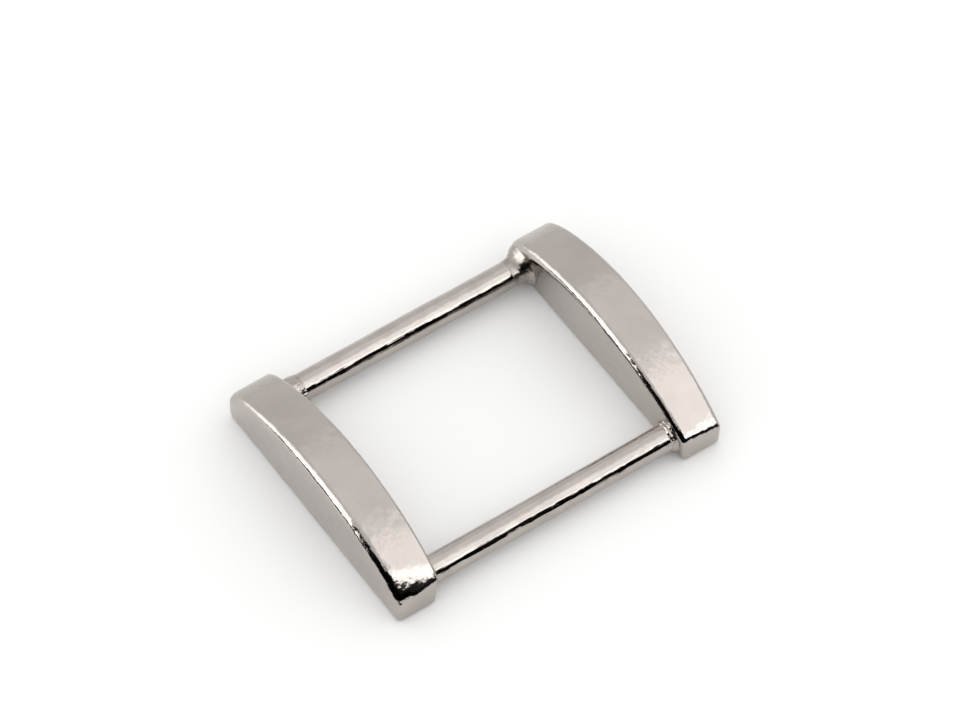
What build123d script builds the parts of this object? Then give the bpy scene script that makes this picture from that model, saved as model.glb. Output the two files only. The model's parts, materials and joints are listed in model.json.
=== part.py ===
from build123d import *
import os
from math import radians, tan

# A rigid strap slider: two arched side rails joined by two round wire bars, brazed in blind sockets.
# +X runs along the wires, +Y along the rails, +Z up. The origin is on the resting plane, at the
# middle of the ring. All sizes are in millimetres and all angles in degrees.

os.makedirs("parts", exist_ok=True)

# ---- driving sizes ----
strap_width = 25.0         # clear width between the two rails, at their base
rail_width = 3.9           # one rail across its flat underside
rail_length = 25.4         # one rail from end to end
inner_end_height = 3.6     # top of a rail's end on the window side, before rounding
outer_end_height = 3.1     # the same on the outer side
inner_mid_height = 6.8     # crown of the arch on the window side
outer_mid_height = 6.7     # crown of the arch on the outer side
inner_lean = 4.5           # how far the inner face leans over the window
outer_lean = 2.0           # how far the outer face leans outwards
end_roll_radius = 1.8      # soft roll-off at the two ends of the arched top
edge_radius = 0.5          # polished rounding of the other upper edges and the upright corners
base_radius = 0.35         # rounding of the underside's edges

wire_diameter = 2.5
wire_lift = 0.4            # gap between the wire and the resting plane
wire_margin = 0.8          # rail left between the wire and the rail's end
socket_depth = 1.8         # how deep the wire sits in a rail, from the base's inner edge
socket_gap = 0.03          # radial gap round the wire in its socket

braze_leg = 0.35           # height of the braze ring on the rail's face, beyond the wire
braze_run = 0.6            # length of the braze ring along the wire
braze_hollow = 1.2         # radius of the hollow in the braze ring's outside
braze_toe = 0.06           # thickness left at the thin edge of the braze ring

# ---- sizes that follow ----
inner_base_x = strap_width / 2
outer_base_x = inner_base_x + rail_width
half_rail = rail_length / 2
wire_radius = wire_diameter / 2
wire_z = wire_lift + wire_radius
wire_y = half_rail - wire_margin - wire_radius
socket_radius = wire_radius + socket_gap
wire_half_length = inner_base_x + socket_depth


def slope_height(x, inner_height, outer_height):
    """Height of the sloping top at x, from its heights above the two edges of the base."""
    return inner_height + (outer_height - inner_height) * (x - inner_base_x) / rail_width


# ---- the rails ----
# The arched blank is lofted a little wider than the rail, then trimmed to the leaning side faces.
crown = max(inner_mid_height, outer_mid_height) + 1
inner_overhang = crown * tan(radians(inner_lean))
outer_overhang = crown * tan(radians(outer_lean))
trim_margin = 0.5

with BuildPart() as right_rail:
    for x in (inner_base_x - inner_overhang - trim_margin, outer_base_x + outer_overhang + trim_margin):
        end_height = slope_height(x, inner_end_height, outer_end_height)
        mid_height = slope_height(x, inner_mid_height, outer_mid_height)
        with BuildSketch(Plane.YZ.offset(x)):
            with BuildLine():
                Polyline((-half_rail, end_height), (-half_rail, 0), (half_rail, 0), (half_rail, end_height))
                ThreePointArc((half_rail, end_height), (0, mid_height), (-half_rail, end_height))
            make_face()
    loft()
    with BuildSketch(Plane.XZ):
        with BuildLine():
            Polyline(
                (inner_base_x, 0),
                (outer_base_x, 0),
                (outer_base_x + outer_overhang, crown),
                (inner_base_x - inner_overhang, crown),
                close=True,
            )
        make_face()
    extrude(amount=rail_length, both=True, mode=Mode.INTERSECT)

    top_edges = right_rail.faces().sort_by(Axis.Z)[-1].edges().sort_by(Axis.Y)
    fillet([top_edges[0], top_edges[-1]], radius=end_roll_radius)

    side_faces = right_rail.faces().sort_by(Axis.X)
    outlines = side_faces[0].edges() + side_faces[-1].edges()
    fillet([edge for edge in outlines if edge.center().Z > base_radius], radius=edge_radius)
    fillet(right_rail.faces().sort_by(Axis.Z)[0].edges(), radius=base_radius)

    with BuildSketch(Plane.YZ.offset(wire_half_length)):
        with Locations((-wire_y, wire_z), (wire_y, wire_z)):
            Circle(socket_radius)
    extrude(amount=-(socket_depth + inner_overhang), mode=Mode.SUBTRACT)

with BuildPart() as left_rail:
    mirror(right_rail.part, about=Plane.YZ)

for name, rail in (("left_rail", left_rail), ("right_rail", right_rail)):
    rail.part.label = name
    export_step(rail.part, f"parts/{name}.step")


# ---- the wire bars ----
def wire_bar(y):
    """A straight round wire across the window, its ends flat on the bottoms of the sockets."""
    with BuildPart() as wire:
        with BuildSketch(Plane.YZ):
            with Locations((y, wire_z)):
                Circle(wire_radius)
        extrude(amount=wire_half_length, both=True)
    return wire.part


for name, y in (("front_bar", -wire_y), ("rear_bar", wire_y)):
    bar = wire_bar(y)
    bar.label = name
    export_step(bar, f"parts/{name}.step")


# ---- the braze rings ----
# Each ring is a hollow-sided fillet turned round the wire and cut off flush at the rail's leaning
# inner face.
def braze_ring(side, y):
    """Braze where a wire enters a rail: side is 1 for the right rail and -1 for the left."""
    slope = tan(radians(inner_lean))
    face_x = inner_base_x - wire_z * slope
    toe_x = face_x - braze_run
    wire_edge = y + wire_radius
    toe_edge = wire_edge + braze_toe
    root_edge = wire_edge + braze_leg
    with BuildPart() as ring:
        with BuildSketch(Plane.XY.offset(wire_z)):
            with BuildLine():
                Polyline(
                    (side * toe_x, toe_edge),
                    (side * toe_x, wire_edge),
                    (side * inner_base_x, wire_edge),
                    (side * inner_base_x, root_edge),
                    (side * face_x, root_edge),
                )
                RadiusArc((side * face_x, root_edge), (side * toe_x, toe_edge), side * braze_hollow)
            make_face()
        revolve(axis=Axis((0, y, wire_z), (1, 0, 0)))
        split(bisect_by=Plane((side * inner_base_x, 0, 0), (0, 1, 0), (side, 0, slope)), keep=Keep.BOTTOM)
        split(bisect_by=Plane.XY, keep=Keep.TOP)
    return ring.part


for rail_name, side in (("left", -1), ("right", 1)):
    for bar_name, y in (("front", -wire_y), ("rear", wire_y)):
        ring = braze_ring(side, y)
        ring.label = f"braze_{bar_name}_{rail_name}"
        export_step(ring, f"parts/{ring.label}.step")
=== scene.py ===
import json
from math import atan2, degrees, pi, radians, sqrt

import bmesh
import bpy
from mathutils import Matrix, Vector


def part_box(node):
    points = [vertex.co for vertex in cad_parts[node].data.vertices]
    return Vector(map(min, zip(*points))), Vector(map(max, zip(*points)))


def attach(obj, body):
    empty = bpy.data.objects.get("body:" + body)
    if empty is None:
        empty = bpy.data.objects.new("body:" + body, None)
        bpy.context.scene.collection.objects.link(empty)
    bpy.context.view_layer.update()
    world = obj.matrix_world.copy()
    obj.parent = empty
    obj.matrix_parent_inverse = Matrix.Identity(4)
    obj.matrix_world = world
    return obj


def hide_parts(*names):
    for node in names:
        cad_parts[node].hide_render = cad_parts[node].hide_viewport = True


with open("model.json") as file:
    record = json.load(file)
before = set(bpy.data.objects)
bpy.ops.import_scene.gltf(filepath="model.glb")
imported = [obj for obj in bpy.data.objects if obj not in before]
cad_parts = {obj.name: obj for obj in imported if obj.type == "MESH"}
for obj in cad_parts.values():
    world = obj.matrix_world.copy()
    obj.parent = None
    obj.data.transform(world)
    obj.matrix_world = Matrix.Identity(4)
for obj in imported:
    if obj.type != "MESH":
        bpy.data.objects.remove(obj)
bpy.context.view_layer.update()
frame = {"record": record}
bpy.ops.object.select_all(action="DESELECT")


# ---- the two side rails ----
# Each side rail is a small zinc casting, arched along its length, with its inner face leaning over
# the window. It was polished until its upper edges were soft and a little uneven, then plated with
# bright nickel. Two blind sockets in the inner face take the ends of the wires.

mm = 0.001
underside = next(mount for mount in frame["record"]["mounts"] if mount["name"] == "underside")
rail_middle = underside["pos_m"][0]
rail_base_width = 3.9 * mm
base_inner = rail_middle - rail_base_width / 2
base_outer = rail_middle + rail_base_width / 2
rail_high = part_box("right_rail")[1]
half_rail = rail_high.y
crown = rail_high.z
rail_rows = 28
rail_columns = 3

# Polishing took a little metal off the crown too, and more of it on the outer side.
inner_crown = crown - 0.03 * mm
outer_crown = crown - 0.12 * mm

# Each upper edge is a round arch that sags over a short run before its two ends, because the buff
# bit deeper there. The two castings were not polished alike.
left_inner_edge = {
    "near": 3.65 * mm, "crown": inner_crown, "far": 3.5 * mm,
    "near_sag": 0.45 * mm, "near_run": 2.6 * mm, "far_sag": 0.45 * mm, "far_run": 1.8 * mm,
}
left_outer_edge = {
    "near": 3.25 * mm, "crown": outer_crown, "far": 3.3 * mm,
    "near_sag": 1.4 * mm, "near_run": 3.3 * mm, "far_sag": 0.4 * mm, "far_run": 1.8 * mm,
}
right_inner_edge = {
    "near": 2.9 * mm, "crown": inner_crown, "far": 3.5 * mm,
    "near_sag": 0.04 * mm, "near_run": 0.9 * mm, "far_sag": 0.6 * mm, "far_run": 2.2 * mm,
}
right_outer_edge = {
    "near": 2.2 * mm, "crown": outer_crown, "far": 3.3 * mm,
    "near_sag": 0.04 * mm, "near_run": 0.9 * mm, "far_sag": 0.45 * mm, "far_run": 1.8 * mm,
}

# The sides of the casting spread upwards about this upright line.
spread_line = 15.2 * mm
spread_per_metre = 29.1

# The buff came from the left, so it rounded the left upper edge of both castings most.
buffed_rounding = 0.85 * mm
edge_rounding = 0.42 * mm
sharp_angle = radians(35)
wire_socket_gap = 0.03 * mm

# Under the polish the cast skin is still a little dented, and rippled more finely.
dent_size = 3.1 * mm
dent_height = 0.04 * mm
ripple_size = 0.9 * mm
ripple_height = 0.01 * mm

# Edges and points are chosen by where they are: this nearly along an axis, this near a place, or
# clear of the underside's own edges.
least_along = 0.98
near_enough = 0.1 * mm
above_underside = 1 * mm

# Points closer than the gap are made one, and faces at less than the angle are shaded as one.
merge_gap = 0.01 * mm
smooth_angle = radians(40)


def select_edges(piece, wanted):
    """In edit mode, selects only the edges that pass the test."""
    bpy.ops.mesh.select_mode(type="EDGE")
    bpy.ops.mesh.select_all(action="DESELECT")
    mesh = bmesh.from_edit_mesh(piece.data)
    for edge in mesh.edges:
        if wanted(edge):
            edge.select_set(True)
    bmesh.update_edit_mesh(piece.data)


def select_points(piece, wanted):
    """In edit mode, selects only the points whose place passes the test."""
    bpy.ops.mesh.select_mode(type="VERT")
    bpy.ops.mesh.select_all(action="DESELECT")
    mesh = bmesh.from_edit_mesh(piece.data)
    for point in mesh.verts:
        if wanted(point.co):
            point.select_set(True)
    mesh.select_flush(True)
    bmesh.update_edit_mesh(piece.data)


def runs_along(edge, axis):
    """Whether an edge lies nearly along x, y or z, given as 0, 1 or 2."""
    step = edge.verts[1].co - edge.verts[0].co
    return abs(step[axis]) > least_along * step.length


def sag(depth, run, distance):
    """How far an edge sags at a distance from a rail's end."""
    return depth * max(0, 1 - distance / run) ** 2


def edge_height(edge, y):
    """Height of one upper edge of a rail at y."""
    rise = edge["crown"] - (edge["near"] + edge["far"]) / 2
    radius = (half_rail**2 + rise**2) / (2 * rise)
    tilt = (edge["far"] - edge["near"]) / (2 * half_rail)
    arch = edge["crown"] - radius + sqrt(radius**2 - y**2) + tilt * y
    near_sag = sag(edge["near_sag"], edge["near_run"], y + half_rail)
    far_sag = sag(edge["far_sag"], edge["far_run"], half_rail - y)
    return arch - near_sag - far_sag


def rail_height(inner_edge, outer_edge, x, y):
    """Height of a rail's top at a place on its base."""
    share = (x - base_inner) / rail_base_width
    return (1 - share) * edge_height(inner_edge, y) + share * edge_height(outer_edge, y)


def apply_modifier(piece, kind, **settings):
    """Adds a modifier with its settings and applies it at once."""
    bpy.context.view_layer.objects.active = piece
    modifier = piece.modifiers.new(kind.lower(), kind)
    for name, value in settings.items():
        setattr(modifier, name, value)
    bpy.ops.object.modifier_apply(modifier=modifier.name)


def make_uneven(piece, name, size, height, detail=2):
    """Moves a surface in and out by smooth clouds: waves of that size, that high over all."""
    clouds = bpy.data.textures.new(name, "CLOUDS")
    clouds.noise_scale = size
    clouds.noise_depth = detail
    apply_modifier(
        piece, "DISPLACE", texture=clouds, texture_coords="LOCAL", strength=height, mid_level=0.5
    )


def finish_piece(piece, node):
    """Smooths a finished piece's shading, puts it on the frame and hides the part it stands for."""
    bpy.ops.object.select_all(action="DESELECT")
    piece.select_set(True)
    bpy.context.view_layer.objects.active = piece
    bpy.ops.object.shade_smooth_by_angle(angle=smooth_angle)
    piece.select_set(False)
    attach(piece, "root")
    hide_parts(node)


def cast_rail(name, side, inner_edge, outer_edge):
    """A rail: side is 1 for the right one and -1 for the left, which is turned over at the end."""
    bpy.ops.mesh.primitive_cube_add(
        size=1, location=(rail_middle, 0, crown / 2), scale=(rail_base_width, 2 * half_rail, crown)
    )
    rail = bpy.context.object
    rail.name = name
    bpy.ops.object.transform_apply(location=True, rotation=True, scale=True)
    bpy.ops.object.mode_set(mode="EDIT")
    select_edges(rail, lambda edge: runs_along(edge, 1))
    bpy.ops.mesh.subdivide(number_cuts=rail_rows - 1)
    select_edges(rail, lambda edge: runs_along(edge, 0))
    bpy.ops.mesh.subdivide(number_cuts=rail_columns - 1)

    for row in range(rail_rows + 1):
        y = -half_rail + 2 * half_rail * row / rail_rows
        for column in range(rail_columns + 1):
            x = base_inner + rail_base_width * column / rail_columns
            height = rail_height(inner_edge, outer_edge, x, y)
            select_points(
                rail,
                lambda place: abs(place.y - y) < near_enough and abs(place.x - x) < near_enough,
            )
            bpy.ops.transform.resize(value=(1, 1, height / crown), center_override=(0, 0, 0))
        spread = 1 + spread_per_metre * rail_height(inner_edge, outer_edge, rail_middle, y)
        select_points(
            rail,
            lambda place: abs(place.y - y) < near_enough and place.z > above_underside,
        )
        bpy.ops.transform.resize(value=(spread, 1, 1), center_override=(spread_line, 0, 0))

    def is_buffed(edge):
        """Whether an edge is on the upper edge that the buff came over."""
        buffed_from_inside = side > 0
        on_that_side = all((point.co.x < rail_middle) == buffed_from_inside for point in edge.verts)
        on_top = all(point.co.z > above_underside for point in edge.verts)
        return on_that_side and on_top and not runs_along(edge, 0)

    def is_sharp(edge):
        """Whether the two faces at an edge meet so sharply that it needs rounding."""
        return edge.calc_face_angle(0) > sharp_angle

    select_edges(rail, lambda edge: is_sharp(edge) and is_buffed(edge))
    bpy.ops.mesh.bevel(offset=buffed_rounding, segments=4, profile=0.5, clamp_overlap=False)
    select_edges(rail, is_sharp)
    bpy.ops.mesh.bevel(offset=edge_rounding, segments=3, profile=0.5, clamp_overlap=False)
    bpy.ops.mesh.select_all(action="SELECT")
    bpy.ops.mesh.remove_doubles(threshold=merge_gap)
    if side < 0:
        bpy.ops.transform.resize(value=(-1, 1, 1), center_override=(0, 0, 0))
    bpy.ops.mesh.normals_make_consistent(inside=False)
    bpy.ops.object.mode_set(mode="OBJECT")

    apply_modifier(rail, "SUBSURF", levels=3, render_levels=3)
    make_uneven(rail, name + "_dents", dent_size, dent_height)
    make_uneven(rail, name + "_ripples", ripple_size, ripple_height)
    for node in ("front_bar", "rear_bar"):
        drill_socket(rail, node)
    return rail


def drill_socket(rail, node):
    """Cuts the blind hole that the end of a wire sits in."""
    low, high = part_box(node)
    bpy.ops.mesh.primitive_cylinder_add(
        vertices=64,
        radius=(high.z - low.z) / 2 + wire_socket_gap,
        depth=high.x - low.x,
        location=(low + high) / 2,
        rotation=(0, pi / 2, 0),
    )
    drill = bpy.context.object
    apply_modifier(rail, "BOOLEAN", operation="DIFFERENCE", solver="EXACT", object=drill)
    bpy.data.objects.remove(drill)


rails = {
    "left_rail": cast_rail("rail_left", -1, left_inner_edge, left_outer_edge),
    "right_rail": cast_rail("rail_right", 1, right_inner_edge, right_outer_edge),
}


def put(tree, kind, inputs=(), **settings):
    """Adds a shader node with its settings, and gives its inputs values or links them."""
    node = tree.nodes.new(kind)
    for name, value in settings.items():
        setattr(node, name, value)
    for name, value in dict(inputs).items():
        if isinstance(value, bpy.types.NodeSocket):
            tree.links.new(value, node.inputs[name])
        else:
            node.inputs[name].default_value = value
    return node


def start_group(name, inputs, outputs):
    """A shader node group: its tree, its input sockets by name, and its output node."""
    tree = bpy.data.node_groups.new(name, "ShaderNodeTree")
    for socket, kind, value in inputs:
        made = tree.interface.new_socket(socket, in_out="INPUT", socket_type=kind)
        if value is not None:
            made.default_value = value
    for socket, kind in outputs:
        tree.interface.new_socket(socket, in_out="OUTPUT", socket_type=kind)
    return tree, tree.nodes.new("NodeGroupInput").outputs, tree.nodes.new("NodeGroupOutput")


fine_waves_per_broad = 3.3


def build_peel_group():
    """Fine unevenness of plated metal: soft orange peel, drawn out along one direction."""
    tree, given, result = start_group(
        "plating_peel",
        [
            ("Vector", "NodeSocketVector", None),
            ("Drawn Out", "NodeSocketVector", (1, 1, 1)),
            ("Waves Per Metre", "NodeSocketFloat", 2000),
            ("Fine Share", "NodeSocketFloat", 0.3),
        ],
        [("Height", "NodeSocketFloat")],
    )
    drawn = put(
        tree,
        "ShaderNodeVectorMath",
        {0: given["Vector"], 1: given["Drawn Out"]},
        operation="MULTIPLY",
    )
    broad = put(
        tree,
        "ShaderNodeTexNoise",
        {"Vector": drawn.outputs[0], "Scale": given["Waves Per Metre"], "Detail": 1.0},
    )
    finer = put(
        tree,
        "ShaderNodeMath",
        {0: given["Waves Per Metre"], 1: fine_waves_per_broad},
        operation="MULTIPLY",
    )
    fine = put(
        tree,
        "ShaderNodeTexNoise",
        {"Vector": drawn.outputs[0], "Scale": finer.outputs[0], "Detail": 2.0},
    )
    height = put(
        tree,
        "ShaderNodeMath",
        {0: fine.outputs["Fac"], 1: given["Fine Share"], 2: broad.outputs["Fac"]},
        operation="MULTIPLY_ADD",
    )
    tree.links.new(height.outputs[0], result.inputs["Height"])
    return tree


def build_tone_group():
    """Slow changes of tone and haze over a plated surface, with small dull stains."""
    tree, given, result = start_group(
        "plating_tone",
        [
            ("Vector", "NodeSocketVector", None),
            ("Bright", "NodeSocketColor", (0.5, 0.5, 0.5, 1)),
            ("Dull", "NodeSocketColor", (0.4, 0.4, 0.4, 1)),
            ("Patches Per Metre", "NodeSocketFloat", 300),
            ("Least Haze", "NodeSocketFloat", 0.08),
            ("Most Haze", "NodeSocketFloat", 0.16),
        ],
        [("Color", "NodeSocketColor"), ("Haze", "NodeSocketFloat")],
    )
    patches = put(
        tree,
        "ShaderNodeTexNoise",
        {
            "Vector": given["Vector"],
            "Scale": given["Patches Per Metre"],
            "Detail": 5.0,
            "Roughness": 0.6,
        },
    )
    share = put(
        tree,
        "ShaderNodeMapRange",
        {"Value": patches.outputs["Fac"], "From Min": 0.35, "From Max": 0.65},
    )
    tone = put(
        tree,
        "ShaderNodeMix",
        {0: share.outputs[0], 6: given["Dull"], 7: given["Bright"]},
        data_type="RGBA",
    )
    haze = put(
        tree,
        "ShaderNodeMapRange",
        {"Value": share.outputs[0], "To Min": given["Most Haze"], "To Max": given["Least Haze"]},
    )
    tree.links.new(tone.outputs[2], result.inputs["Color"])
    tree.links.new(haze.outputs[0], result.inputs["Haze"])
    return tree


def build_pit_group():
    """Scattered pin holes: a mask that is 1 in each pit. A few cells of the pattern hold one."""
    tree, given, result = start_group(
        "plating_pits",
        [
            ("Vector", "NodeSocketVector", None),
            ("Cells Per Metre", "NodeSocketFloat", 1200),
            ("Share With Pit", "NodeSocketFloat", 0.06),
        ],
        [("Mask", "NodeSocketFloat")],
    )
    cells = put(
        tree,
        "ShaderNodeTexVoronoi",
        {"Vector": given["Vector"], "Scale": given["Cells Per Metre"], "Randomness": 1.0},
    )
    near = put(
        tree,
        "ShaderNodeMapRange",
        {
            "Value": cells.outputs["Distance"],
            "From Min": 0.02,
            "From Max": 0.1,
            "To Min": 1.0,
            "To Max": 0.0,
        },
    )
    chance = put(tree, "ShaderNodeSeparateColor", {"Color": cells.outputs["Color"]})
    chosen = put(
        tree,
        "ShaderNodeMath",
        {0: chance.outputs[0], 1: given["Share With Pit"]},
        operation="LESS_THAN",
    )
    mask = put(
        tree,
        "ShaderNodeMath",
        {0: near.outputs[0], 1: chosen.outputs[0]},
        operation="MULTIPLY",
    )
    tree.links.new(mask.outputs[0], result.inputs["Mask"])
    return tree


peel_group = build_peel_group()
tone_group = build_tone_group()
pit_group = build_pit_group()


def put_group(tree, group, inputs):
    """Places a node group in a material and fills its inputs."""
    return put(tree, "ShaderNodeGroup", inputs, node_tree=group)


def start_metal(name):
    """A metal material: its tree, its shader and the place on the surface."""
    material = bpy.data.materials.new(name)
    material.use_nodes = True
    tree = material.node_tree
    shader = tree.nodes["Principled BSDF"]
    shader.inputs["Metallic"].default_value = 1.0
    place = tree.nodes.new("ShaderNodeTexCoord").outputs["Object"]
    return material, tree, shader, place


pit_brown = (0.25, 0.23, 0.21, 1)


def plate_rail(name, shift):
    """Bright nickel over the polished casting. The shift makes the two rails' patterns differ."""
    material, tree, shader, place = start_metal(name)
    moved = put(tree, "ShaderNodeMapping", {"Vector": place, "Location": shift}).outputs[0]
    tone = put_group(
        tree,
        tone_group,
        {
            "Vector": moved,
            "Bright": (0.475, 0.436, 0.405, 1),
            "Dull": (0.435, 0.399, 0.371, 1),
            "Patches Per Metre": 260,
            "Least Haze": 0.07,
            "Most Haze": 0.13,
        },
    )
    pits = put_group(
        tree,
        pit_group,
        {"Vector": moved, "Cells Per Metre": 1100, "Share With Pit": 0.05},
    )
    pitted = put(
        tree,
        "ShaderNodeMix",
        {0: pits.outputs["Mask"], 6: tone.outputs["Color"], 7: pit_brown},
        data_type="RGBA",
    )
    peel = put_group(
        tree,
        peel_group,
        {"Vector": moved, "Drawn Out": (1, 0.5, 1), "Waves Per Metre": 1700, "Fine Share": 0.3},
    )
    waved = put(
        tree,
        "ShaderNodeBump",
        {"Strength": 1.0, "Distance": 0.036 * mm, "Height": peel.outputs[0]},
    )
    holed = put(
        tree,
        "ShaderNodeBump",
        {
            "Strength": 0.6,
            "Distance": 0.02 * mm,
            "Height": pits.outputs["Mask"],
            "Normal": waved.outputs[0],
        },
        invert=True,
    )
    tree.links.new(pitted.outputs[2], shader.inputs["Base Color"])
    tree.links.new(tone.outputs["Haze"], shader.inputs["Roughness"])
    tree.links.new(holed.outputs[0], shader.inputs["Normal"])
    return material


rail_pattern_shifts = {"left_rail": (0.11, 0.07, 0.05), "right_rail": (0, 0, 0)}
for node, rail in rails.items():
    rail.data.materials.append(plate_rail(node + "_nickel", rail_pattern_shifts[node]))
    finish_piece(rail, node)


# ---- the two wires ----
# Two straight lengths of drawn steel wire cross the window and end in the rails' sockets. The die
# left faint lines along them, and the plating over them is rougher than on the rails.

wire_facets = 72
wire_rings = 120
wire_end_rounding = 0.12 * mm
wire_bend_size = 4 * mm
wire_bend_height = 0.03 * mm
wire_ripple_size = 0.6 * mm
wire_ripple_height = 0.008 * mm


def angle_from_top(place, middle):
    """Angle of a place round a wire, in degrees from the wire's top."""
    return degrees(atan2(place.y - middle.y, place.z - middle.z))


def draw_wire(name, node, draw_lines):
    """A wire with shallow lines along it: each line is an angle from the top and a depth."""
    low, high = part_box(node)
    middle = (low + high) / 2
    radius = (high.z - low.z) / 2
    bpy.ops.mesh.primitive_cylinder_add(
        vertices=wire_facets,
        radius=radius,
        depth=high.x - low.x,
        location=middle,
        rotation=(0, pi / 2, 0),
    )
    wire = bpy.context.object
    wire.name = name
    bpy.ops.object.transform_apply(location=True, rotation=True, scale=True)
    bpy.ops.object.mode_set(mode="EDIT")
    select_edges(wire, lambda edge: not runs_along(edge, 0))
    bpy.ops.mesh.bevel(offset=wire_end_rounding, segments=2, profile=0.5)
    select_edges(wire, lambda edge: runs_along(edge, 0) and edge.calc_length() > radius)
    bpy.ops.mesh.subdivide(number_cuts=wire_rings)
    half_step = 180 / wire_facets
    for angle, depth in draw_lines:
        select_points(wire, lambda place: abs(angle_from_top(place, middle) - angle) < half_step)
        share = 1 - depth / radius
        bpy.ops.transform.resize(value=(1, share, share), center_override=middle)
    bpy.ops.mesh.select_all(action="SELECT")
    bpy.ops.mesh.normals_make_consistent(inside=False)
    bpy.ops.object.mode_set(mode="OBJECT")
    apply_modifier(wire, "SUBSURF", levels=1, render_levels=1)
    make_uneven(wire, name + "_bends", wire_bend_size, wire_bend_height, detail=0)
    make_uneven(wire, name + "_ripples", wire_ripple_size, wire_ripple_height)
    return wire


wires = {
    "front_bar": draw_wire("wire_front", "front_bar", [(0, 0.008 * mm), (-32.5, 0.006 * mm)]),
    "rear_bar": draw_wire("wire_rear", "rear_bar", [(12.5, 0.005 * mm)]),
}


def plate_wire(name, shift):
    """Nickel straight on drawn wire, with the lines of the die showing through."""
    material, tree, shader, place = start_metal(name)
    moved = put(tree, "ShaderNodeMapping", {"Vector": place, "Location": shift}).outputs[0]
    tone = put_group(
        tree,
        tone_group,
        {
            "Vector": moved,
            "Bright": (0.48, 0.44, 0.405, 1),
            "Dull": (0.41, 0.375, 0.35, 1),
            "Patches Per Metre": 500,
            "Least Haze": 0.03,
            "Most Haze": 0.09,
        },
    )
    peel = put_group(
        tree,
        peel_group,
        {"Vector": moved, "Drawn Out": (0.7, 1, 1), "Waves Per Metre": 1300, "Fine Share": 0.12},
    )
    lines = put_group(
        tree,
        peel_group,
        {"Vector": moved, "Drawn Out": (0.03, 1, 1), "Waves Per Metre": 4500, "Fine Share": 0.4},
    )
    lined = put(
        tree,
        "ShaderNodeBump",
        {"Strength": 1.0, "Distance": 0.014 * mm, "Height": lines.outputs[0]},
    )
    waved = put(
        tree,
        "ShaderNodeBump",
        {
            "Strength": 1.0,
            "Distance": 0.045 * mm,
            "Height": peel.outputs[0],
            "Normal": lined.outputs[0],
        },
    )
    tree.links.new(tone.outputs["Color"], shader.inputs["Base Color"])
    tree.links.new(tone.outputs["Haze"], shader.inputs["Roughness"])
    tree.links.new(waved.outputs[0], shader.inputs["Normal"])
    return material


wire_pattern_shifts = {"front_bar": (0, 0, 0), "rear_bar": (0.13, 0.02, 0.09)}
for node, wire in wires.items():
    wire.data.materials.append(plate_wire(node + "_nickel", wire_pattern_shifts[node]))
    finish_piece(wire, node)


# ---- the four braze rings ----
# Silver solder was run round each wire where it enters a rail, and plated with the rest. It froze
# as an uneven ring, thick against the rail and thin along the wire, and no two rings are alike.

ring_steps = 72
ring_sections = 4
ring_toe_share = 0.03
ring_floor_gap = 0.04 * mm
ring_merge_gap = 0.002 * mm

# The braze reaches a little into the rail's face and into the wire, so that no gap shows.
ring_into_rail = 0.05 * mm
ring_into_wire = 0.02 * mm

# The lumps carry finer ripples, this share of their height.
lump_size = 0.8 * mm
lump_ripple_size = 0.3 * mm
lump_ripple_share = 0.25


def braze_ring(name, node, leg, run, outline, lumps):
    """A ring of braze: its height on the rail's face, its length along the wire, its outline from
    the thin edge to the face as shares of that height, and the height of its lumps."""
    low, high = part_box(node)
    side = 1 if (low + high).x > 0 else -1
    bar_low, bar_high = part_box(node.split("_")[1] + "_bar")
    axis = (bar_low + bar_high) / 2
    radius = (bar_high.z - bar_low.z) / 2
    face = base_inner - ring_into_rail
    surface = Vector((0, 0, axis.z + radius))
    bpy.ops.mesh.primitive_plane_add(
        size=1,
        location=(side * (face - run / 2), axis.y, surface.z + leg / 2),
        rotation=(pi / 2, 0, 0),
    )
    ring = bpy.context.object
    ring.name = name
    ring.scale = (run, leg, 1)
    bpy.ops.object.transform_apply(location=True, rotation=True, scale=True)
    bpy.ops.object.mode_set(mode="EDIT")
    select_edges(ring, lambda edge: runs_along(edge, 0))
    bpy.ops.mesh.subdivide(number_cuts=ring_sections - 1)
    close_by = 0.1 * run / ring_sections
    for section, share in enumerate([ring_toe_share, *outline]):
        x = side * (face - run + run * section / ring_sections)
        select_points(ring, lambda place: abs(place.x - x) < close_by)
        bpy.ops.transform.resize(value=(1, 1, share), center_override=surface)
    select_edges(ring, lambda edge: len(edge.link_faces) == 2)
    bpy.ops.mesh.delete(type="EDGE")
    bpy.ops.mesh.select_all(action="SELECT")
    bpy.ops.transform.translate(value=(0, 0, -ring_into_wire))
    bpy.ops.mesh.spin(steps=ring_steps, angle=2 * pi, center=axis, axis=(1, 0, 0))
    bpy.ops.mesh.select_all(action="SELECT")
    bpy.ops.mesh.remove_doubles(threshold=ring_merge_gap)
    bpy.ops.mesh.normals_make_consistent(inside=False)
    select_points(ring, lambda place: place.z < axis.z)
    below = min(1, (axis.z - ring_floor_gap) / (radius + leg))
    bpy.ops.transform.resize(value=(1, 1, below), center_override=axis)
    bpy.ops.object.mode_set(mode="OBJECT")
    apply_modifier(ring, "SUBSURF", levels=2, render_levels=2)
    make_uneven(ring, name + "_lumps", lump_size, lumps)
    make_uneven(ring, name + "_ripples", lump_ripple_size, lump_ripple_share * lumps)
    return ring


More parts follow.
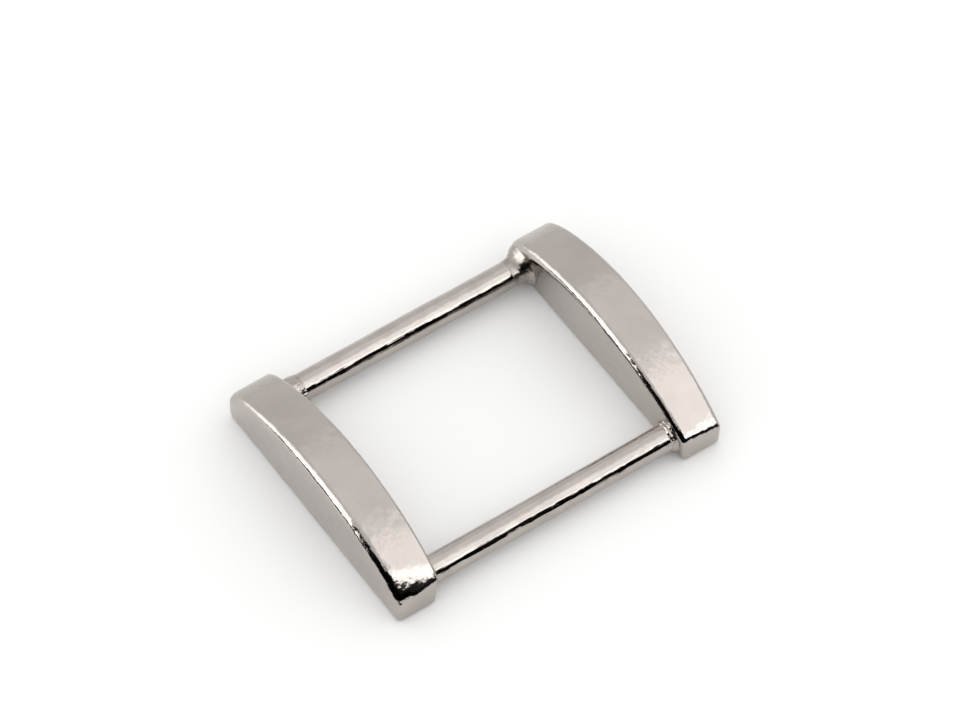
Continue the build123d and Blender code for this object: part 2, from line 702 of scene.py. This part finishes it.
rings = {
    "braze_front_left": braze_ring(
        "braze_ring_front_left",
        "braze_front_left",
        leg=0.5 * mm,
        run=0.55 * mm,
        outline=(0.3, 0.35, 0.6, 1),
        lumps=0.05 * mm,
    ),
    "braze_front_right": braze_ring(
        "braze_ring_front_right",
        "braze_front_right",
        leg=0.45 * mm,
        run=0.6 * mm,
        outline=(0.45, 0.4, 0.6, 1),
        lumps=0.16 * mm,
    ),
    "braze_rear_left": braze_ring(
        "braze_ring_rear_left",
        "braze_rear_left",
        leg=0.35 * mm,
        run=2.0 * mm,
        outline=(0.25, 0.35, 0.4, 1),
        lumps=0.24 * mm,
    ),
    "braze_rear_right": braze_ring(
        "braze_ring_rear_right",
        "braze_rear_right",
        leg=1.05 * mm,
        run=1.8 * mm,
        outline=(0.04, 0.15, 0.42, 1),
        lumps=0.05 * mm,
    ),
}


def plate_braze(name):
    """Nickel over the frozen braze, lumpier and hazier than over the wire."""
    material, tree, shader, place = start_metal(name)
    tone = put_group(
        tree,
        tone_group,
        {
            "Vector": place,
            "Bright": (0.46, 0.42, 0.385, 1),
            "Dull": (0.28, 0.25, 0.23, 1),
            "Patches Per Metre": 900,
            "Least Haze": 0.1,
            "Most Haze": 0.3,
        },
    )
    peel = put_group(
        tree,
        peel_group,
        {"Vector": place, "Drawn Out": (1, 1, 1), "Waves Per Metre": 2400, "Fine Share": 0.5},
    )
    waved = put(
        tree,
        "ShaderNodeBump",
        {"Strength": 1.0, "Distance": 0.02 * mm, "Height": peel.outputs[0]},
    )
    tree.links.new(tone.outputs["Color"], shader.inputs["Base Color"])
    tree.links.new(tone.outputs["Haze"], shader.inputs["Roughness"])
    tree.links.new(waved.outputs[0], shader.inputs["Normal"])
    return material


braze_nickel = plate_braze("braze_nickel")
for node, ring in rings.items():
    ring.data.materials.append(braze_nickel)
    finish_piece(ring, node)


# ---- the floor and the studio ----
# A plain pale table top under a white tent. The cards round it show only in the metal: a broad
# soft light overhead, a hot strip light in front, a soft light on the left, and black flags.

table_size = 6
table_depth = 0.02 * mm
bpy.ops.mesh.primitive_plane_add(size=table_size, location=(0, 0, -table_depth))
table = bpy.context.object
table.name = "table_top"
table_white = bpy.data.materials.new("table_white")
table_white.use_nodes = True
table_shader = table_white.node_tree.nodes["Principled BSDF"]
table_shader.inputs["Base Color"].default_value = (0.94, 0.94, 0.935, 1)
table_shader.inputs["Roughness"].default_value = 0.6
table_shader.inputs["Specular IOR Level"].default_value = 0.2
table.data.materials.append(table_white)

# The tent gives the table a little more light than it shows in the metal.
tent_level = 1.1
tent_level_in_metal = 0.93
world = bpy.data.worlds.new("white_tent")
world.use_nodes = True
bpy.context.scene.world = world
tent = world.node_tree.nodes["Background"]
tent.inputs["Color"].default_value = (1, 1, 1, 1)
ray = put(world.node_tree, "ShaderNodeLightPath")
seen_level = put(
    world.node_tree,
    "ShaderNodeMapRange",
    {"Value": ray.outputs["Is Glossy Ray"], "To Min": tent_level, "To Max": tent_level_in_metal},
)
world.node_tree.links.new(seen_level.outputs[0], tent.inputs["Strength"])


def hang_card(name, middle, size, turn, level, left=0, right=0, top=0):
    """A card that shows only in the metal. Each given share of it fades out, from that side in."""
    bpy.ops.mesh.primitive_plane_add(size=1, location=middle, rotation=turn)
    card = bpy.context.object
    card.name = name
    card.scale = (size[0], size[1], 1)
    card.visible_camera = False
    card.visible_diffuse = False
    card.visible_shadow = False
    light = bpy.data.materials.new(name)
    light.use_nodes = True
    tree = light.node_tree
    tree.nodes.remove(tree.nodes["Principled BSDF"])
    across = put(tree, "ShaderNodeSeparateXYZ", {0: put(tree, "ShaderNodeUVMap").outputs[0]})
    mask = 1.0
    for axis, edge, inside in (("X", 0, left), ("X", 1, 1 - right), ("Y", 1, 1 - top)):
        if edge != inside:
            fade = put(
                tree,
                "ShaderNodeMapRange",
                {"Value": across.outputs[axis], "From Min": edge, "From Max": inside},
                interpolation_type="SMOOTHSTEP",
            )
            both = put(
                tree,
                "ShaderNodeMath",
                {0: mask, 1: fade.outputs[0]},
                operation="MULTIPLY",
            )
            mask = both.outputs[0]
    glow = put(tree, "ShaderNodeEmission", {"Strength": level})
    clear = put(tree, "ShaderNodeBsdfTransparent")
    faded = put(tree, "ShaderNodeMixShader", {0: mask, 1: clear.outputs[0], 2: glow.outputs[0]})
    tree.links.new(faded.outputs[0], tree.nodes["Material Output"].inputs["Surface"])
    card.data.materials.append(light)


upright_front = (pi / 2, 0, 0)
upright_left = (pi / 2, 0, pi / 2)
hang_card("softbox_overhead", (0.5, -0.33, 0.9), (1.4, 0.86), (0, 0, 0), 1.8, left=0.25, top=0.4)
hang_card("tent_overhead", (0.5, 0.3, 0.92), (1.4, 1.4), (0, 0, 0), 1.15, left=0.25, top=0.3)
hang_card("strip_front", (0.68, -0.9, 0.86), (1.64, 0.84), upright_front, 2.6)
hang_card("flag_front_low", (0.0, -0.89, 0.32), (3.0, 0.64), upright_front, 0)
hang_card("flag_front_left", (-0.52, -0.9, 0.72), (0.76, 1.44), upright_front, 0)
hang_card("flag_left", (-0.9, -0.4, 0.72), (1.02, 1.44), upright_left, 0)
hang_card("softbox_left", (-0.9, 1.36, 1.4), (2.5, 2.5), upright_left, 3.0, right=0.85, top=0.85)
hang_card("gap_left", (-0.895, 0.6, 0.1), (1.0, 0.2), upright_left, 0, right=0.3)
hang_card("bounce_left", (-0.91, 1.7, 0.7), (2.0, 1.4), upright_left, 1.6, right=0.3, top=0.5)


# ---- the camera ----
# A long lens looks down at the slider from its near left corner, turned a little about its own
# axis.

camera_azimuth = radians(-36.38)
camera_elevation = radians(54.32)
camera_roll = radians(2)
camera_distance = 0.4741
camera_aim = Vector((4.425 * mm, 5.549 * mm, 0))

back = Vector((0, -1, 0))
back.rotate(Matrix.Rotation(-camera_elevation, 3, "X"))
back.rotate(Matrix.Rotation(camera_azimuth, 3, "Z"))
bpy.ops.object.camera_add()
camera = bpy.context.object
camera.matrix_world = (
    Matrix.Translation(camera_aim + camera_distance * back)
    @ back.to_track_quat("Z", "Y").to_matrix().to_4x4()
    @ Matrix.Rotation(camera_roll, 4, "Z")
)
camera.data.sensor_width = 36
camera.data.lens = 209.2
camera.data.clip_start = 0.01
bpy.context.scene.camera = camera
bpy.context.scene.view_settings.view_transform = "Standard"
